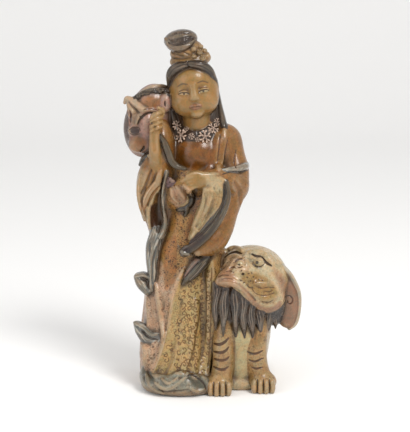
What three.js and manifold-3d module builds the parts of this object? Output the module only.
// A ceramic figure group about 24 cm high. A robed lady holds a beast mask at her right shoulder,
// and a lion-like beast sits at her left side. It was fired as one piece and rests on its foot.
// Millimetres, +Z up, the front towards -Y, the lady's left hand side towards +X.

import * as THREE from "three";
import { mergeVertices } from "three/addons/utils/BufferGeometryUtils.js";
import Module from "manifold-3d";

const wasm = await Module();
wasm.setup();

// Driving dimensions: the places and turns of the main forms
const headCentre = [-11, -5, 203];
const headLean = -8;
const maskCentre = [-43, 1, 182];
const maskLean = 14;
const beastCentre = [29, -8, 77];
const pawRadii = [9.5, 9.5, 8];
const legRadii = [7, 7.5];
const fingerRadius = 1.7;
const robeColumns = 36;
const mostFacets = 9600;
const leastFacetArea = 0.002;
const leastFacetTurn = 0.3;
const glazeColour = "#b08a5c";

// The robe by height: height, centre x, centre y, half width, half depth
const robeProfile = [
  [0, -20.5, -5, 26.5, 35],
  [9, -20.5, -5, 27, 35.5],
  [18, -21, -4, 26.5, 32],
  [32, -21.3, -2.5, 26, 28.5],
  [50, -21.5, -1, 24.8, 26],
  [66, -21.5, -0.5, 24, 24.5],
  [80, -20, 0, 22.5, 23],
  [97, -17, 0, 22, 21.5],
  [116, -13.5, 0, 21.5, 20],
  [136, -10, 0, 21, 18],
  [151, -8.5, 0.5, 22, 17],
  [163, -8.5, 1, 22.5, 16],
  [171, -8.5, 1.5, 20, 14],
  [178, -8.5, 2, 14.5, 11],
  [184, -8.5, 2, 9.5, 9],
];

// Folds down the robe: the angle round from the front, how far it drifts by the hem, spread in
// degrees, rise in millimetres and the height where it fades out
const robeFolds = [
  { angle: 128, drift: -12, spread: 8, rise: 2.6, top: 120 },
  { angle: 152, drift: 6, spread: 9, rise: 3.2, top: 142 },
  { angle: 178, drift: -5, spread: 8, rise: 2.4, top: 118 },
  { angle: 203, drift: 8, spread: 9, rise: 3.2, top: 140 },
  { angle: 230, drift: 10, spread: 8, rise: 2.6, top: 112 },
  { angle: 262, drift: 6, spread: 9, rise: 2.2, top: 74 },
];

// The shawl's lower edge on the back: its lowest height, how much higher it is at the sides, and
// its thickness
const shawlEdge = { low: 98, dip: 30, rise: 2.2 };

function vectors(points) {
  return points.map((point) => new THREE.Vector3(...point));
}

function frameAt(centre, leanDegrees) {
  const lean = THREE.MathUtils.degToRad(leanDegrees);
  return new THREE.Matrix4().makeRotationY(lean).setPosition(...centre);
}

const world = frameAt([0, 0, 0], 0);
const head = frameAt(headCentre, headLean);
const mask = frameAt(maskCentre, 0);
const beast = frameAt(beastCentre, 0);

// A closed geometry as a solid that can be joined and cut
function solidOf(geometry, frame = world) {
  const bare = geometry.clone().applyMatrix4(frame);
  bare.deleteAttribute("normal");
  bare.deleteAttribute("uv");
  const merged = mergeVertices(bare, 1e-4);
  const vertProperties = new Float32Array(merged.getAttribute("position").array);
  const triVerts = new Uint32Array(merged.index.array);
  return new wasm.Manifold(new wasm.Mesh({ numProp: 3, vertProperties, triVerts }));
}

// A skin over a stack of rings, closed by a point at each end
function skinOver(rings, firstPoint, lastPoint) {
  const columns = rings[0].length;
  const points = [firstPoint, ...rings.flat(), lastPoint];
  const last = points.length - 1;
  const index = [];
  for (let j = 0; j < columns; j += 1) {
    const next = (j + 1) % columns;
    index.push(0, 1 + next, 1 + j);
    for (let i = 0; i < rings.length - 1; i += 1) {
      const low = 1 + i * columns;
      const high = low + columns;
      index.push(low + j, low + next, high + next);
      index.push(low + j, high + next, high + j);
    }
    index.push(last - columns + j, last - columns + next, last);
  }
  return new THREE.BufferGeometry().setFromPoints(points).setIndex(index);
}

// A rounded mass with three radii; turn is in degrees about x, y and z
function egg(at, radii, { turn = [0, 0, 0], frame = world, around = 8, along = 6 } = {}) {
  const angles = turn.map((degrees) => THREE.MathUtils.degToRad(degrees));
  const geometry = new THREE.SphereGeometry(1, around, along);
  geometry.scale(...radii);
  geometry.applyMatrix4(new THREE.Matrix4().makeRotationFromEuler(new THREE.Euler(...angles)));
  geometry.translate(...at);
  return solidOf(geometry, frame);
}

// A fold, lock or limb along a route of oval rings. Half widths lie across the way it faces, half
// depths along it. A fold has six sides and so a crest, a limb has more and rounded ends.
function sweep(route, widths, depths, { facing = [0, -1, 0], sides = 6, frame = world } = {}) {
  const path = new THREE.CatmullRomCurve3(vectors(route));
  const sizes = new THREE.CatmullRomCurve3(
    vectors(route.map((_, i) => [widths[i % widths.length], depths[i % depths.length], 0])),
  );
  const ringAt = (share, shift, shrink) => {
    const along = path.getTangent(share);
    const outward = new THREE.Vector3(...facing).projectOnPlane(along).normalize();
    const across = new THREE.Vector3().crossVectors(outward, along);
    const size = sizes.getPoint(share).multiplyScalar(shrink);
    const centre = path.getPoint(share).addScaledVector(along, shift);
    return Array.from({ length: sides }, (_, j) => {
      const angle = (2 * Math.PI * j) / sides;
      return centre
        .clone()
        .addScaledVector(across, size.x * Math.cos(angle))
        .addScaledVector(outward, size.y * Math.sin(angle));
    });
  };
  const capAngle = THREE.MathUtils.degToRad(48);
  const ends = [0, 1].map((share) => {
    const size = sizes.getPoint(share);
    const reach = Math.min(size.x, size.y) * (share ? 1 : -1);
    const tip = path.getPoint(share).addScaledVector(path.getTangent(share), reach);
    const cap = ringAt(share, reach * Math.sin(capAngle), Math.cos(capAngle));
    return { tip, rings: sides > 6 ? [cap] : [] };
  });
  const count = route.length - 1;
  const rings = Array.from({ length: count + 1 }, (_, i) => ringAt(i / count, 0, 1));
  const skin = skinOver([...ends[0].rings, ...rings, ...ends[1].rings], ends[0].tip, ends[1].tip);
  return solidOf(skin, frame);
}

// The robe's centre and half sizes at any height
function robeAt(height) {
  const above = Math.max(1, robeProfile.findIndex((row) => row[0] >= height));
  const [low, high] = [robeProfile[above - 1], robeProfile[above]];
  const share = (height - low[0]) / (high[0] - low[0]);
  return low.map((value, i) => THREE.MathUtils.lerp(value, high[i], share));
}

// Points on the robe's front, from their x and z, lifted off it by a little
function onFront(places, lift) {
  return places.map(([x, z]) => {
    const [, centreX, centreY, halfWidth, halfDepth] = robeAt(z);
    const across = THREE.MathUtils.clamp((x - centreX) / halfWidth, -0.98, 0.98);
    return [x, centreY - halfDepth * Math.sqrt(1 - across * across) - lift, z];
  });
}

// How far the folds and, on the back, the shawl stand out from the plain robe
function robeRise(degrees, height) {
  const edge = shawlEdge.low + shawlEdge.dip * Math.abs(degrees - 180) / 90;
  const isBehind = THREE.MathUtils.smoothstep(90 - Math.abs(degrees - 180), 0, 30);
  const shawl = shawlEdge.rise * isBehind * THREE.MathUtils.smoothstep(height, edge - 6, edge + 2);
  return robeFolds.reduce((sum, { angle, drift, spread, rise, top }) => {
    const fade = THREE.MathUtils.smoothstep(top - height, 0, 40);
    const away = (degrees - angle - drift * (1 - height / top)) / spread;
    return sum + rise * fade * Math.exp(-away * away);
  }, shawl);
}

function robeBody() {
  const columns = robeColumns;
  const rings = robeProfile.map(([height, centreX, centreY, halfWidth, halfDepth]) =>
    Array.from({ length: columns }, (_, j) => {
      const turn = (360 * j) / columns;
      const angle = THREE.MathUtils.degToRad(turn);
      const rise = robeRise(turn, height);
      return new THREE.Vector3(
        centreX + (halfWidth + rise) * Math.sin(angle),
        centreY - (halfDepth + rise) * Math.cos(angle),
        height,
      );
    }),
  );
  const [bottom, top] = [robeProfile[0], robeProfile[robeProfile.length - 1]];
  const foot = new THREE.Vector3(bottom[1], bottom[2], bottom[0]);
  const neck = new THREE.Vector3(top[1], top[2], top[0]);
  return solidOf(skinOver(rings, foot, neck));
}

// The lady's trunk: robe, breast, the raised edges of the shawl and the folds of the skirt
function trunk() {
  const lapels = [
    [[8, -6, 179], [9.5, -13, 168], [8, -17, 156], [3, -18.5, 150]],
    [[-25, -6, 179], [-28, -12, 170], [-28, -16, 160]],
  ];
  const frontFold = onFront(
    [[-19, 76], [-24, 69], [-26, 59], [-28.5, 50], [-31.5, 36], [-36, 23], [-40, 14]],
    1,
  );
  const tongueFold = onFront([[-38, 74], [-37, 62], [-35, 50], [-33, 38]], 0.6);
  const sideFold = onFront([[-43, 60], [-43.5, 46], [-42, 34]], 0.4);
  const panelEdge = onFront([[0.5, 88], [0.2, 62], [-0.5, 40], [-1, 14]], 0.6);
  const hipFold = onFront([[-24, 118], [-29, 104], [-31, 88], [-31.5, 74]], 0.4);
  const underSleeve = onFront([[-7, 126], [-13, 112], [-20, 99], [-25, 84]], 0.5);
  return [
    robeBody(),
    egg([-9, -5, 160], [15, 13, 16], { around: 12, along: 9 }),
    egg([-42.5, -12, 22], [7, 14, 12], { around: 10, along: 8 }),
    egg([4, 2, 62], [12, 16, 36], { around: 10, along: 8 }),
    egg([-31, -7, 134], [8, 9.5, 30], { around: 10, along: 8 }),
    egg([2, -13, 126], [15, 12, 26], { around: 10, along: 8 }),
    egg([4, -16, 144], [15, 9, 9], { around: 10, along: 8 }),
    ...lapels.map((route) => sweep(route, [2.2], [2.4])),
    sweep(frontFold, [2.2, 2.8, 3, 3, 3.2, 3.4, 2.6], [2.6]),
    sweep(tongueFold, [2, 2.2, 2, 1.4], [2]),
    sweep(sideFold, [2, 2.6, 2], [1.8]),
    sweep(panelEdge, [1.6], [1.6]),
    sweep(hipFold, [2, 2.6, 2.4, 1.6], [1.6]),
    sweep(underSleeve, [1.8, 2.4, 2.4, 1.6], [1.7]),
  ];
}

// Points on the back of the robe, at an angle round from the front
function onBack(places, lift) {
  return places.map(([degrees, height]) => {
    const [, centreX, centreY, halfWidth, halfDepth] = robeAt(height);
    const angle = THREE.MathUtils.degToRad(degrees);
    const x = centreX + (halfWidth + lift) * Math.sin(angle);
    return [x, centreY - (halfDepth + lift) * Math.cos(angle), height];
  });
}

// The shawl over the back, its lower edge and the folds that hang from the shoulders
function shawlBehind() {
  const lowerEdge = onBack([[112, 122], [145, 110], [180, 98], [215, 110], [248, 122]], 1);
  const folds = [
    [[138, 164], [146, 146], [150, 122]],
    [[164, 142], [168, 126], [172, 108]],
    [[200, 144], [195, 128], [190, 110]],
    [[224, 162], [217, 144], [212, 120]],
  ];
  return [
    sweep(lowerEdge, [2.2, 3, 3.2, 3, 2.2], [2], { facing: [0, 1, 0] }),
    ...folds.map((fold) => sweep(onBack(fold, 1.4), [1.8, 2.8, 2.2], [2], { facing: [0, 1, 0] })),
  ];
}

// The wavy rolled hem in front of the feet, its crests and the toe of one shoe
function hem() {
  const roll = [
    [-44, -19, 7], [-41.5, -31, 7], [-32, -38, 7], [-19, -40.5, 7.5], [-8, -37.5, 6.5], [-1, -33, 5],
  ];
  const crests = [
    [[-42, -31, 10], [-36, -36.5, 12], [-28, -38, 11]],
    [[-27, -38, 12.5], [-20, -40, 15.5], [-12, -39, 13.5]],
    [[-12, -39, 12], [-6, -36.5, 11], [-1.5, -33, 7.5]],
  ];
  return [
    sweep(roll, [6.5, 6.5, 6.6, 7, 6.2, 4.6], [5.4]),
    ...crests.map((route) => sweep(route, [1.8, 2.4, 1.6], [2.4, 3, 2.2])),
    egg([-44, -20, 10], [4.6, 8, 7]),
    egg([-12.5, -39.5, 12.5], [5, 4, 3.8]),
  ];
}

// The grey scarf at the lady's right side, with the two places where it curls outwards
function sideScarf() {
  const strip = [
    [-31, -15, 150], [-33.4, -16, 137], [-33.4, -17, 127], [-31.4, -18.5, 116], [-34, -17, 107],
  ];
  const fall = [[-36.5, -15, 108], [-39.5, -13, 98], [-40.4, -12.5, 88], [-40, -12.5, 78], [-41, -13, 68]];
  const upperCurl = [[-50.5, -11, 76], [-47, -12, 72], [-43.5, -13, 67]];
  const upperLip = [[-50.5, -11.5, 77.5], [-46, -12.5, 78.2], [-40.5, -14, 76]];
  const lowerCurl = [[-50.5, -11, 41.5], [-47, -14, 38], [-42, -18, 34.5], [-34, -23, 36]];
  const lowerLip = [[-51, -11, 43.5], [-46, -15, 41.6], [-40.5, -19.5, 38.5], [-35, -23.5, 39]];
  return [
    sweep(strip, [2.2, 1.9, 2, 2.4, 3], [5]),
    sweep(fall, [5, 5.2, 4.6, 4.2, 3], [6, 7, 7.4, 7, 6]),
    sweep(upperCurl, [2.6, 4.6, 3.6], [5, 6, 5]),
    sweep(upperLip, [1.6, 1.7, 1.6], [4.6, 5, 4.6]),
    sweep(lowerCurl, [2.6, 4.8, 5.4, 3], [5, 6, 6, 4.6]),
    sweep(lowerLip, [1.4, 1.6, 1.6, 1.4], [4.6, 5, 5, 3]),
  ];
}

// One finger with its curl, as a short tapered tube
function finger(route) {
  return sweep(route, [fingerRadius, fingerRadius, 0.8 * fingerRadius], [fingerRadius]);
}

// The arm across the waist, with the shawl round it and the long sleeve that hangs from it
function leftArm() {
  const upperArm = [[10, 2, 168], [14, 1, 158], [16.8, -3, 148], [16, -8, 138]];
  const forearm = [[17, -10, 140], [10, -19, 144.5], [2, -25.5, 147], [-6, -29, 147.5]];
  const armScarf = [[8, -17, 150], [16, -15.5, 151.5], [22.4, -8, 152.5], [23.2, 2, 152], [19, 11, 152]];
  const bag = [[16, -9, 136], [11.8, -14, 122], [7, -18, 111], [0.5, -22.5, 103], [-9, -27, 98.5]];
  const lining = [[3.5, -25, 144], [3, -26.5, 132], [-3, -28, 120], [-11, -28.5, 108]];
  const liningFolds = [
    [[-2.5, -30, 145], [-2.2, -32, 137], [-4, -32, 127], [-9.5, -31.5, 117]],
    [[2.5, -29.5, 145], [3, -32, 135], [0, -32, 126], [-6, -31.5, 117], [-11.5, -31, 110]],
    [[7.2, -28, 145], [7.8, -30.5, 134], [4.5, -31.5, 123], [-2, -32, 113.5], [-9, -31.5, 107.5]],
  ];
  const trim = [
    [11.8, -27, 144], [12.8, -28.5, 136], [10, -30.5, 127], [4.6, -32, 117.5],
    [-2.2, -33, 109.5], [-9.5, -33, 103.5], [-17, -32, 99],
  ];
  const fingers = [0, 1, 2, 3].map((i) => [
    [-9 - 0.4 * i, -32.5, 152 - 2.9 * i],
    [-14.5 - 0.5 * i, -34, 150.5 - 2.7 * i],
    [-18.5, -32, 147 - 2.3 * i],
  ]);
  return [
    egg([8, 2, 166], [12.2, 12.5, 14.5], { around: 10, along: 7 }),
    sweep(upperArm, [11, 9.4, 9.2, 9.6], [11, 11, 10.5, 9.5], { sides: 9 }),
    sweep(forearm, [9, 7.6, 6, 4.8], [8.5, 7.5, 6, 4.2], { sides: 8 }),
    sweep(armScarf, [1.6, 2.1, 2.4, 2.4, 2], [2.2, 2.4, 2.6, 2.6, 2.6]),
    sweep(bag, [8, 6.6, 8, 8.6, 4.4], [8, 7, 6.6, 6, 3.6], { sides: 9 }),
    sweep(lining, [7, 6.6, 7.4, 3.4], [4], { sides: 8 }),
    ...liningFolds.map((route) => sweep(route, [2.4, 2.6, 2.8, 2.4, 1.4], [2.2])),
    sweep(trim, [2, 2.8, 3.4, 3.7, 3.7, 3.4, 3.4], [2.2]),
    egg([-18, -31.5, 98], [3.4, 3, 3.6], { around: 7, along: 5 }),
    egg([-9.5, -31, 147.5], [7, 4.4, 6.2]),
    ...fingers.map(finger),
  ];
}

// What hangs at the waist: a round knot, its dark tails, a flower and the leaf-shaped sash end
function sash() {
  const tail = [[-12.2, -23, 139.6], [-12.8, -23.6, 133.6], [-16, -23.6, 129], [-21.5, -22.6, 128]];
  const shortTail = [[-13.8, -22, 130.5], [-16.2, -22, 125], [-18.6, -21.4, 120.4]];
  const leaf = [[-1.5, -20, 94], [-7.5, -23, 88], [-13, -24.6, 81.6], [-19, -25.2, 74.6]];
  const leafRib = [[-3, -24.4, 92.4], [-9, -27, 86], [-17, -27, 76.6]];
  return [
    egg([-20.5, -20.5, 134.4], [6.6, 7.2, 7.4], { around: 10, along: 8 }),
    sweep(tail, [1.6, 2.3, 2.3, 1.2], [5.4, 5.6, 5.4, 4.6]),
    sweep(shortTail, [1.6, 1.8, 0.9], [4.4, 4, 2.4]),
    egg([-26, -15.5, 144.4], [3.7, 5.6, 3.9]),
    sweep(leaf, [3.2, 5.2, 4.4, 1], [5.4, 4.6, 3.4, 2]),
    sweep(leafRib, [1, 1.2, 0.8], [2]),
  ];
}

// The raised arm: its wide sleeve, the hand closed on the mask and the ribbon that falls from it
function rightArm() {
  const upperArm = [[-29, 3, 164], [-35, -3, 153], [-38, -8, 143]];
  const forearm = [[-35.5, -14, 151], [-37.2, -19, 162.5], [-37.6, -21, 172.5], [-37.2, -21.5, 181]];
  const sleeve = [
    [-37.5, -8, 155], [-41.4, -10, 146], [-42.5, -11, 136], [-41, -11, 125], [-38.5, -10, 114],
    [-37.5, -9, 106],
  ];
  const innerFold = [[-34, -19, 151], [-36.5, -21, 142], [-41, -20.5, 134], [-45, -17, 126]];
  const outerFold = [[-36, -20, 140], [-40, -19.5, 131], [-42, -18.5, 123], [-41, -16, 112]];
  const cuff = [[-41.4, -15.5, 160.6], [-37.6, -20.6, 158], [-32.8, -18, 156.4]];
  const collar = [[-42, -10, 161], [-45.5, -8, 157.5], [-49, -5, 152.5]];
  const ribbon = [
    [-34.8, -21, 176.4], [-31.2, -20.6, 170], [-28.8, -20.2, 163.6], [-26.4, -19.4, 157.4],
    [-22.6, -19, 154], [-17, -19.6, 152.4],
  ];
  const fingers = [0, 1, 2, 3].map((i) => [
    [-33.6, -22.6, 190.2 - 3.3 * i],
    [-36.2, -26, 190.4 - 3.3 * i],
    [-40.2, -24.6, 188.8 - 3.2 * i],
  ]);
  const thumb = [[-33.6, -20, 188.6], [-33, -21, 193], [-36.6, -22.6, 194.6]];
  return [
    egg([-26.5, 3, 165], [10.5, 11.5, 12], { around: 10, along: 8 }),
    egg([-33, -8, 162], [8.4, 13, 22], { around: 10, along: 8 }),
    sweep(upperArm, [10.5, 9.6, 8], [10.5, 9.5, 8.5], { sides: 8 }),
    sweep(forearm, [5.4, 4.4, 3.6, 3.8], [6, 5, 4.4, 4.2], { sides: 8 }),
    sweep(sleeve, [8, 8.4, 8, 7, 5.6, 4.4], [10, 10, 9, 8, 6.6, 5], { sides: 9 }),
    sweep(innerFold, [2.2, 2.4, 2.4, 1.6], [2.6]),
    sweep(outerFold, [2.4, 2.6, 2.2, 1.6], [2.4]),
    sweep(cuff, [1.3, 1.5, 1.2], [2]),
    sweep(collar, [1.7, 2.2, 1.6], [3, 3.6, 3]),
    sweep(ribbon, [1.3, 2.8, 3.4, 3.3, 2.6, 1.3], [3.4]),
    egg([-36.8, -21.5, 185], [4.4, 4.4, 6.8], { around: 10, along: 8 }),
    ...fingers.map(finger),
    finger(thumb),
  ];
}

// The hollow inside the raised sleeve, seen from the front as a dark slot
function sleeveHollow() {
  return egg([-35.8, -21.5, 122], [3.4, 7, 14], { around: 10, along: 8 });
}

// One flower of the necklace or of the crown: a domed disc with rounded petals
function floret([x, y, z], radius, petals, frame = world) {
  const columns = 4 * petals;
  const levels = [[0.7, 0.5], [1, -0.1], [0.55, -0.45]];
  const rings = levels.map(([share, shift]) =>
    Array.from({ length: columns }, (_, j) => {
      const angle = (2 * Math.PI * j) / columns;
      const reach = radius * share * (0.8 + 0.2 * Math.cos(petals * angle));
      const [across, up] = [reach * Math.cos(angle), reach * Math.sin(angle)];
      return new THREE.Vector3(x + across, y + radius * shift, z + up);
    }),
  );
  const back = new THREE.Vector3(x, y + radius * 0.6, z);
  const heart = new THREE.Vector3(x, y - radius * 0.6, z);
  return solidOf(skinOver(rings, back, heart), frame);
}

// Neck and the necklace of flowers along the neckline
function neck() {
  const throat = [[-8.5, 1, 174], [-9, -1, 184], [-10, -3, 192]];
  const chain = [
    [-24, -8, 180], [-20.5, -14, 172.5], [-11, -18, 170], [-2, -17.5, 171.5], [4.5, -12.5, 177.5],
    [8, -7, 182.5],
  ];
  return [
    sweep(throat, [10.5, 9.2, 9.6], [10, 9.4, 9.6], { sides: 9 }),
    sweep(chain, [2.6, 3.4, 2.8, 3.2, 2.8, 1.8], [2]),
    floret([-20, -15.8, 171.8], 4.8, 5),
    floret([-22.6, -11.5, 179.5], 3, 4),
    floret([-11, -18.6, 171.5], 2.6, 4),
    floret([-2.9, -19, 171.4], 4.8, 5),
    floret([4.4, -14.6, 178], 3.4, 4),
  ];
}

// The head with its hair, crown and the folded roll of hair on top. The face is a calm, plain one.
function headAndHair() {
  const at = { frame: head };
  const wing = (side) => [
    [side * 1, -13, 13.4], [side * 6.6, -12.8, 11.6], [side * 12, -9.6, 6], [side * 14, -3.5, -3],
  ];
  const strands = [
    [[13.8, 0, 0], [14.2, 2, -12], [15.4, 2, -22], [17, -2, -32]],
    [[-13.8, 0, 0], [-14.2, -1, -14], [-12.8, -3, -25]],
  ];
  const lids = [-1, 1].map((side) => [
    [side * 3.2, -14.8, 0.4], [side * 6.2, -14.7, 0.9], [side * 9, -12.8, 0],
  ]);
  const brows = [-1, 1].map((side) => [
    [side * 2.8, -14.9, 4.6], [side * 6.4, -14.4, 5.7], [side * 10, -12.2, 4.4],
  ]);
  const backHair = [[0, 8, 4], [0, 13, -14], [0, 18, -30], [0, 21, -46], [0, 21, -60]];
  return [
    egg([0, -1.5, -2], [14.6, 13.6, 16.5], { ...at, around: 16, along: 12 }),
    egg([0, -3.6, -7.4], [13, 11.2, 11.2], { ...at, around: 14, along: 10 }),
    egg([0, -11, -14], [4.6, 3.6, 3.6], { ...at, around: 9, along: 7 }),
    egg([0, -16, -3.4], [1.6, 2.2, 3.8], { ...at, around: 6, along: 5 }),
    egg([0, -15.2, -8.8], [3, 1.4, 1.3], { ...at, around: 6, along: 5 }),
    ...lids.map((route) => sweep(route, [0.6], [0.8], at)),
    ...brows.map((route) => sweep(route, [0.5], [0.7], at)),
    egg([-0.6, 3, 7], [17, 14.6, 12], { ...at, around: 10, along: 7 }),
    ...[-1, 1].map((side) => sweep(wing(side), [3.6, 4.6, 4.4, 3], [3, 3.2, 3.2, 3], at)),
    ...strands.map((route) => sweep(route, [3, 2.9, 2.9, 2], [7, 7, 6, 3], { ...at, sides: 8 })),
    egg([0, 6, -9], [15, 12.5, 20], { ...at, around: 12, along: 9 }),
    sweep(backHair, [14.5, 14, 12.5, 10.5, 6], [6, 6, 5.6, 5, 4], { ...at, facing: [0, 1, 0], sides: 9 }),
    egg([0.4, 1.5, 20.5], [12.2, 11.4, 8.6], { ...at, around: 10, along: 7 }),
    egg([-3.2, 2, 27.5], [9.2, 8.6, 5], { ...at, around: 9, along: 5 }),
    egg([-7.2, 1.5, 29], [6.2, 7.6, 3.8], { ...at, around: 8, along: 5 }),
    egg([-4.6, 2, 35.2], [11.6, 10.6, 7.2], { ...at, around: 10, along: 7 }),
    egg([6.5, 1, 26], [6.4, 8, 5.4], { ...at, around: 10, along: 8 }),
    floret([9, -7.4, 21.5], 4, 5, head),
    floret([4, -8.8, 26.5], 3.4, 5, head),
    floret([-4.5, -9.8, 20], 3.2, 5, head),
  ];
}

// The beast mask: a domed shell with curled hair round its rim, ears, brow, snout and mouth
function beastMask() {
  const at = { frame: mask };
  const rim = [
    [-13, 1, -13], [-15.4, 0, -2], [-14, -2, 9], [-8, -3.5, 17.5], [0, -4, 22.4], [9, -3, 24],
    [14.5, -2, 20],
  ];
  const curls = [
    [-12, -4.6, 12.6], [-10, -5.4, 15.4], [-7.6, -5.8, 17.4], [-5, -6.2, 19], [-2.4, -6.4, 20.4],
    [0.2, -6.6, 21.4], [3, -6.6, 22], [5.6, -6.4, 22.2], [8.2, -6.2, 21.8], [10.6, -5.8, 20.6],
    [12.6, -5.2, 19],
  ];
  const brow = [[-7.6, -10.6, -2.4], [-5, -12.4, 3], [0, -13.4, 7], [6, -13.2, 7.2], [10, -11.5, 5]];
  const ear = [[-3.4, -10, 9], [-9, -11, 12.4], [-14.8, -10, 15.2]];
  const cheek = [[-12, -7, 6], [-13, -7.4, 0], [-11.4, -8, -4]];
  return [
    egg([0, 1, 0], [16.4, 12.5, 25.6], { ...at, turn: [0, maskLean, 0], around: 12, along: 9 }),
    sweep(rim, [2.6], [4, 4, 4, 4, 4, 4, 3], at),
    sweep(curls, [2.8, 1.7], [2.6, 1.7], at),
    egg([2.6, -6.5, 14], [8.4, 6, 7], { ...at, around: 8, along: 5 }),
    sweep(ear, [3.2, 2.8, 1.8], [2.6, 2.4, 1.6], at),
    egg([11, -8.6, 13], [4, 3.4, 6.4], { ...at, around: 7, along: 5 }),
    sweep(brow, [1.1, 1.3, 1.4, 1.3, 1], [1.6], at),
    sweep(cheek, [1.4, 1.6, 1.2], [1.6], at),
    egg([-0.4, -9.6, -5], [8.6, 8.6, 12], { ...at, around: 12, along: 9 }),
    egg([-9, -8.6, -5.2], [3.4, 2.6, 2.8], { ...at, around: 7, along: 5 }),
    egg([-6.6, -7.6, -15], [6.6, 5, 4.6], { ...at, around: 7, along: 5 }),
  ];
}

// The slit of the mask's mouth
function maskMouth() {
  return egg([-3.6, -12.6, -19.4], [2.6, 2.6, 1.7], { frame: mask, turn: [0, 32, 0], around: 6, along: 5 });
}

// One front paw with its toes
function paw(centre, toeCount) {
  const [halfWidth, halfLength, halfHeight] = pawRadii;
  const toes = Array.from({ length: toeCount }, (_, i) => {
    const share = (i + 0.5) / toeCount - 0.5;
    const place = [
      centre[0] + 1.7 * halfWidth * share,
      centre[1] - halfLength * (0.72 - 0.9 * share * share),
      centre[2] - 0.25 * halfHeight,
    ];
    return egg(place, [0.24 * halfWidth, 0.36 * halfLength, 0.7 * halfHeight], { around: 6, along: 5 });
  });
  const sole = [0.98 * halfWidth, 0.86 * halfLength, 0.9 * halfHeight];
  return [egg(centre, sole, { around: 10, along: 7 }), ...toes];
}

// The seated body of the beast: chest, haunches, front legs, the web between them and the tail
function beastBody() {
  const legs = [
    [[10, -22, 46], [8.4, -28, 32], [8, -30, 20], [6.8, -31, 9]],
    [[32, -19, 46], [31.4, -24, 32], [31.6, -25, 20], [33.8, -25, 9]],
  ];
  const legWidths = [8, legRadii[0], legRadii[0], 7.4];
  const legDepths = [9, legRadii[1], legRadii[1], 7.6];
  const tail = [[26, 27, 8], [27, 33, 22], [26, 34, 36], [23, 30, 47], [19, 26, 44]];
  return [
    egg([23, 7, 36], [19.5, 26, 34], { around: 16, along: 12 }),
    egg([21, -13, 40], [18.5, 17, 28], { around: 14, along: 10 }),
    ...[12, 31].map((x) => egg([x, 14, 20], [9.6, 20, 21], { around: 10, along: 8 })),
    ...legs.map((route) => sweep(route, legWidths, legDepths, { sides: 8 })),
    egg([20, -20, 23], [9.5, 7.5, 26], { around: 6, along: 5 }),
    egg([20, -16, 4], [20, 14, 7], { around: 9, along: 5 }),
    ...paw([5.8, -33, 6.4], 4),
    ...paw([35.6, -27.5, 6.4], 4),
    sweep(tail, [5, 6.5, 7, 6, 3.6], [4, 5, 5, 5, 3.4], { facing: [0, 1, 0] }),
  ];
}

// Pointed locks in a row: the beard of the beast, longest in the middle
function beard() {
  const locks = [
    [[5, -29, 76], [3.4, -31, 60], [3.2, -30, 43.5]],
    [[10, -31, 75], [8.6, -33.5, 58], [8.2, -33.5, 40.5]],
    [[16.5, -32, 73], [16.2, -33.5, 57], [16.8, -30.5, 39.5]],
    [[22, -31, 70], [21.5, -32.5, 55], [22.8, -29.5, 38]],
    [[26.5, -30, 65], [27, -31, 52], [28.6, -29.5, 37.5]],
    [[32, -27, 61], [32.6, -28.5, 50], [34, -28, 39]],
    [[38.5, -23, 58], [39, -24, 49], [39.2, -22, 39.5]],
    [[43.5, -17, 58], [44, -18, 50], [44.4, -16, 42]],
    [[48, -10, 58], [48.4, -11, 51], [48.6, -9.5, 44]],
  ];
  return [
    egg([15, -22, 62], [14.5, 11.5, 17], { around: 10, along: 7 }),
    egg([36, -14, 57], [16, 12, 13], { around: 10, along: 7 }),
    ...locks.map((route) => sweep(route, [3.2, 3.4, 0.8], [3, 3.2, 0.9])),
  ];
}

// The beast's head: heavy brow, bulging eyes, broad muzzle, hanging jowl and lop ear
function beastHead() {
  const at = { frame: beast };
  const brows = [
    [[-19.4, -13, 14.4], [-14.6, -14.4, 16.4], [-9, -14.6, 16.6]],
    [[-2, -14.6, 16.4], [3, -16.4, 15.4], [8, -15.4, 12.6], [12.6, -12.6, 8]],
  ];
  const ear = [[17, 2, 8], [23, 1, 0], [26.4, 0, -10], [26.6, 0, -20], [24.6, 0, -31]];
  const lip = [[-24, -24, 3], [-16, -27.5, 3.5], [-7, -26, 0.5], [0, -24, -7], [6, -21.5, -15]];
  return [
    egg([-1, 2, 2], [23, 19, 18], { ...at, around: 12, along: 9 }),
    egg([11, -1, -2], [14.5, 17, 15], { ...at, around: 10, along: 7 }),
    egg([-13, -11, 6], [13, 15, 9.6], { ...at, around: 10, along: 7 }),
    egg([4, -6, 7.6], [12.5, 12.5, 10.6], { ...at, around: 12, along: 8 }),
    egg([-7, -18, 8.6], [6, 8, 5], { ...at, around: 10, along: 7 }),
    egg([5, -11.5, -8], [14.5, 13.5, 13.5], { ...at, turn: [0, 22, 0], around: 10, along: 7 }),
    egg([9, -12, -13], [10.5, 10, 9.5], { ...at, around: 10, along: 7 }),
    sweep(lip, [2.4, 3, 3.2, 3, 2.4], [3], at),
    ...brows.map((route) => sweep(route, [1.6, 2, 1.6, 1.3], [3], at)),
    egg([-11, -19, 11.4], [3.6, 4, 3], { ...at, around: 9, along: 7 }),
    egg([2.2, -17, 12.4], [3.3, 3.4, 3], { ...at, around: 9, along: 7 }),
    sweep(ear, [4.5, 6.6, 6.8, 6.8, 4.6], [5, 7, 7, 6, 4.6], { ...at, facing: [0.25, -1, 0], sides: 8 }),
  ];
}

// Everything that reaches below the floor line, cut off flat
function belowFloor() {
  const size = 300;
  const slab = new THREE.BoxGeometry(size, size, size);
  slab.translate(0, 0, -size / 2);
  return solidOf(slab);
}

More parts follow.
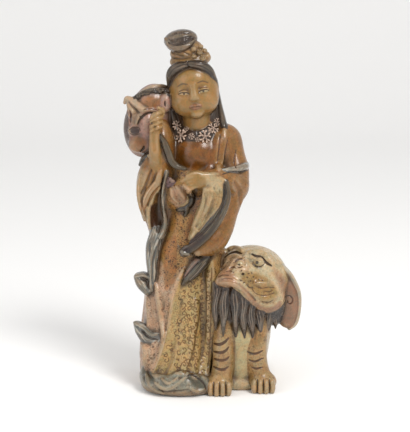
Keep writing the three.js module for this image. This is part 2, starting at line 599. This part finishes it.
// The plane of a facet, its area and unit normal
function planeOf(a, b, c) {
  const normal = new THREE.Vector3().subVectors(b, a).cross(new THREE.Vector3().subVectors(c, a));
  const area = normal.length() / 2;
  normal.normalize();
  return { normal, area, offset: -normal.dot(a) };
}

// Squared distances to planes, weighted by area, add up to a symmetric form of ten numbers
function addPlane(form, { normal, area, offset }) {
  const row = [normal.x, normal.y, normal.z, offset];
  let place = 0;
  for (let i = 0; i < 4; i += 1) {
    for (let j = i; j < 4; j += 1) {
      form[place] += area * row[i] * row[j];
      place += 1;
    }
  }
}

function distanceForm([xx, xy, xz, xd, yy, yz, yd, zz, zd, dd], { x, y, z }) {
  const squares = xx * x * x + yy * y * y + zz * z * z + dd;
  const products = xy * x * y + xz * x * z + yz * y * z + xd * x + yd * y + zd * z;
  return Math.max(0, squares + 2 * products);
}

// A facet mesh in which neighbouring corners can be drawn together
class FacetMesh {
  constructor(points, facets) {
    this.points = points;
    this.facets = facets;
    this.count = facets.length;
    this.around = points.map(() => new Set());
    this.forms = points.map(() => new Float64Array(10));
    facets.forEach((facet, i) => {
      const plane = planeOf(...facet.map((corner) => points[corner]));
      for (const corner of facet) {
        this.around[corner].add(i);
        addPlane(this.forms[corner], plane);
      }
    });
  }

  neighbours(corner) {
    const corners = [...this.around[corner]].flatMap((i) => this.facets[i]);
    return new Set(corners.filter((other) => other !== corner));
  }

  // The place on an edge, its ends or its middle, that stays nearest to the facets around it
  bestSpot(a, b) {
    const form = this.forms[a].map((value, i) => value + this.forms[b][i]);
    const [start, end] = [this.points[a], this.points[b]];
    const spots = [0.5, 0, 1, 0.25, 0.75].map((share) => start.clone().lerp(end, share));
    const costs = spots.map((spot) => distanceForm(form, spot));
    const cost = Math.min(...costs);
    return { spot: spots[costs.indexOf(cost)], cost };
  }

  // Whether moving a corner turns no facet over and leaves none too thin
  canMove(corner, other, spot) {
    return [...this.around[corner]].every((i) => {
      if (this.facets[i].includes(other)) return true;
      const before = planeOf(...this.facets[i].map((c) => this.points[c]));
      const after = planeOf(...this.facets[i].map((c) => (c === corner ? spot : this.points[c])));
      return after.area > leastFacetArea && before.normal.dot(after.normal) > leastFacetTurn;
    });
  }

  // Draws corner b into corner a where that leaves the skin closed and the form as it was
  tryJoin(a, b, limit) {
    const { spot, cost } = this.bestSpot(a, b);
    if (cost > limit) return false;
    const nearB = this.neighbours(b);
    const shared = [...this.neighbours(a)].filter((corner) => nearB.has(corner));
    if (shared.length !== 2 || !this.canMove(a, b, spot) || !this.canMove(b, a, spot)) return false;
    this.points[a].copy(spot);
    this.forms[b].forEach((value, i) => {
      this.forms[a][i] += value;
    });
    for (const i of this.around[b]) {
      if (this.facets[i].includes(a)) {
        this.facets[i].forEach((corner) => corner !== b && this.around[corner].delete(i));
        this.facets[i] = null;
        this.count -= 1;
      } else {
        this.facets[i] = this.facets[i].map((corner) => (corner === b ? a : corner));
        this.around[a].add(i);
      }
    }
    this.around[b].clear();
    return true;
  }

  joinUpTo(most) {
    for (let limit = 1e-4; this.count > most; limit *= 1.5) {
      for (let a = 0; a < this.points.length && this.count > most; a += 1) {
        const later = [...this.neighbours(a)].filter((b) => b > a);
        later.some((b) => this.tryJoin(a, b, limit));
      }
    }
    return this.facets.filter(Boolean);
  }
}

// The same skin with fewer facets: small ones are merged where the form hardly changes
function withFewerFacets({ vertProperties, triVerts }) {
  const points = [];
  for (let i = 0; i < vertProperties.length; i += 3) {
    points.push(new THREE.Vector3().fromArray(vertProperties, i));
  }
  const facets = [];
  for (let i = 0; i < triVerts.length; i += 3) {
    facets.push([...triVerts.slice(i, i + 3)]);
  }
  const kept = new FacetMesh(points, facets).joinUpTo(mostFacets);
  const corners = kept.flat().map((corner) => points[corner]);
  return mergeVertices(new THREE.BufferGeometry().setFromPoints(corners), 1e-5);
}

function figureGroup() {
  const masses = [
    ...trunk(), ...shawlBehind(), ...hem(), ...sideScarf(), ...leftArm(), ...rightArm(), ...sash(),
    ...neck(), ...headAndHair(), ...beastMask(), ...beastBody(), ...beard(), ...beastHead(),
  ];
  const cuts = [sleeveHollow(), maskMouth(), belowFloor()];
  const solid = wasm.Manifold.union(masses).subtract(wasm.Manifold.union(cuts));
  const geometry = withFewerFacets(solid.getMesh());
  geometry.computeVertexNormals();
  const material = new THREE.MeshStandardMaterial({ color: glazeColour, roughness: 0.45, metalness: 0 });
  const mesh = new THREE.Mesh(geometry, material);
  mesh.name = "figure_group";
  return mesh;
}

const group = new THREE.Group();
group.add(figureGroup());

export default group;
